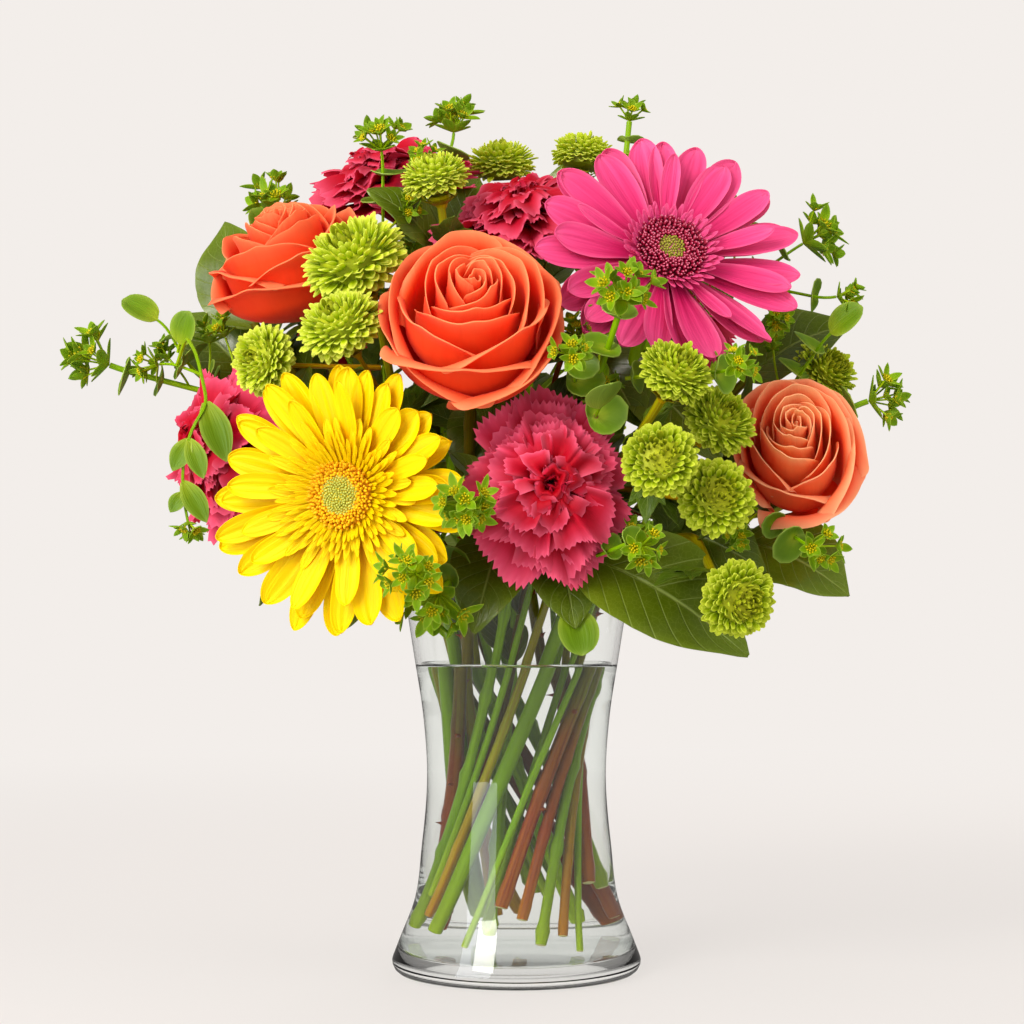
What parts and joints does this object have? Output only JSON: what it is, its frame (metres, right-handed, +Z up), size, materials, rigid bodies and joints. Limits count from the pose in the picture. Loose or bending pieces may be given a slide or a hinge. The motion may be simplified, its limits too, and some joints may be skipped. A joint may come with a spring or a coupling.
{
  "type": "mixed bouquet of cut flowers with gerberas in a clear glass vase",
  "caption": "Round mixed bouquet of gerberas, roses, carnations and button chrysanthemums with leaves, standing in water in a waisted clear glass vase.",
  "frame": {"origin": "centre of the flat underside of the vase", "axes": "+Z up along the vase's axis; the front of the bouquet faces -Y, with +X to the viewer's right"},
  "size_m": [0.3626, 0.2734, 0.3916],
  "materials": {
    "vase_glass": "clear polished glass",
    "water": "clear still water",
    "yellow_petals": "satin petal",
    "yellow_centre": "matte florets",
    "pink_petals": "satin petal",
    "pink_centre": "matte florets",
    "rose_petals": "velvety petal",
    "carnation_petals": "matte petal",
    "green_florets": "matte florets",
    "bupleurum_green": "satin leaf",
    "glossy_leaf": "glossy leaf",
    "green_stem": "satin stem",
    "woody_stem": "satin stem"
  },
  "bodies": {
    "root": {"bupleurum_back": "bupleurum_green", "bupleurum_centre": "bupleurum_green", "bupleurum_front": "bupleurum_green", "bupleurum_left": "bupleurum_green", "bupleurum_right": "bupleurum_green", "bupleurum_top_left": "bupleurum_green", "bupleurum_top_right": "bupleurum_green", "carnation_back_left_petals": "carnation_petals", "carnation_back_left_stem": "green_stem", "carnation_back_right_petals": "carnation_petals", "carnation_back_right_stem": "green_stem", "carnation_front_petals": "carnation_petals", "carnation_front_stem": "green_stem", "carnation_left_petals": "carnation_petals", "carnation_left_stem": "green_stem", "carnation_top_left_petals": "carnation_petals", "carnation_top_left_stem": "green_stem", "carnation_top_petals": "carnation_petals", "carnation_top_stem": "green_stem", "gerbera_pink_disc": "pink_centre", "gerbera_pink_petals": "pink_petals", "gerbera_pink_stem": "green_stem", "gerbera_yellow_disc": "yellow_centre", "gerbera_yellow_petals": "yellow_petals", "gerbera_yellow_stem": "green_stem", "leaves_back": "glossy_leaf", "leaves_front": "glossy_leaf", "leaves_left": "glossy_leaf", "leaves_right": "glossy_leaf", "pom_back_1": "green_florets", "pom_back_2": "green_florets", "pom_back_3": "green_florets", "pom_front_1": "green_florets", "pom_front_2": "green_florets", "pom_front_3": "green_florets", "pom_front_4": "green_florets", "pom_left_1": "green_florets", "pom_left_2": "green_florets", "pom_left_3": "green_florets", "pom_right_1": "green_florets", "pom_right_2": "green_florets", "pom_stem_back": "green_stem", "pom_stem_front": "green_stem", "pom_stem_left": "green_stem", "pom_stem_right": "green_stem", "pom_stem_top": "green_stem", "pom_top_1": "green_florets", "pom_top_2": "green_florets", "pom_top_3": "green_florets", "rose_back_petals": "rose_petals", "rose_back_stem": "woody_stem", "rose_centre_petals": "rose_petals", "rose_centre_stem": "woody_stem", "rose_left_petals": "rose_petals", "rose_left_stem": "woody_stem", "rose_right_petals": "rose_petals", "rose_right_stem": "woody_stem", "vase": "vase_glass", "water": "water"}
  },
  "joints": []
}
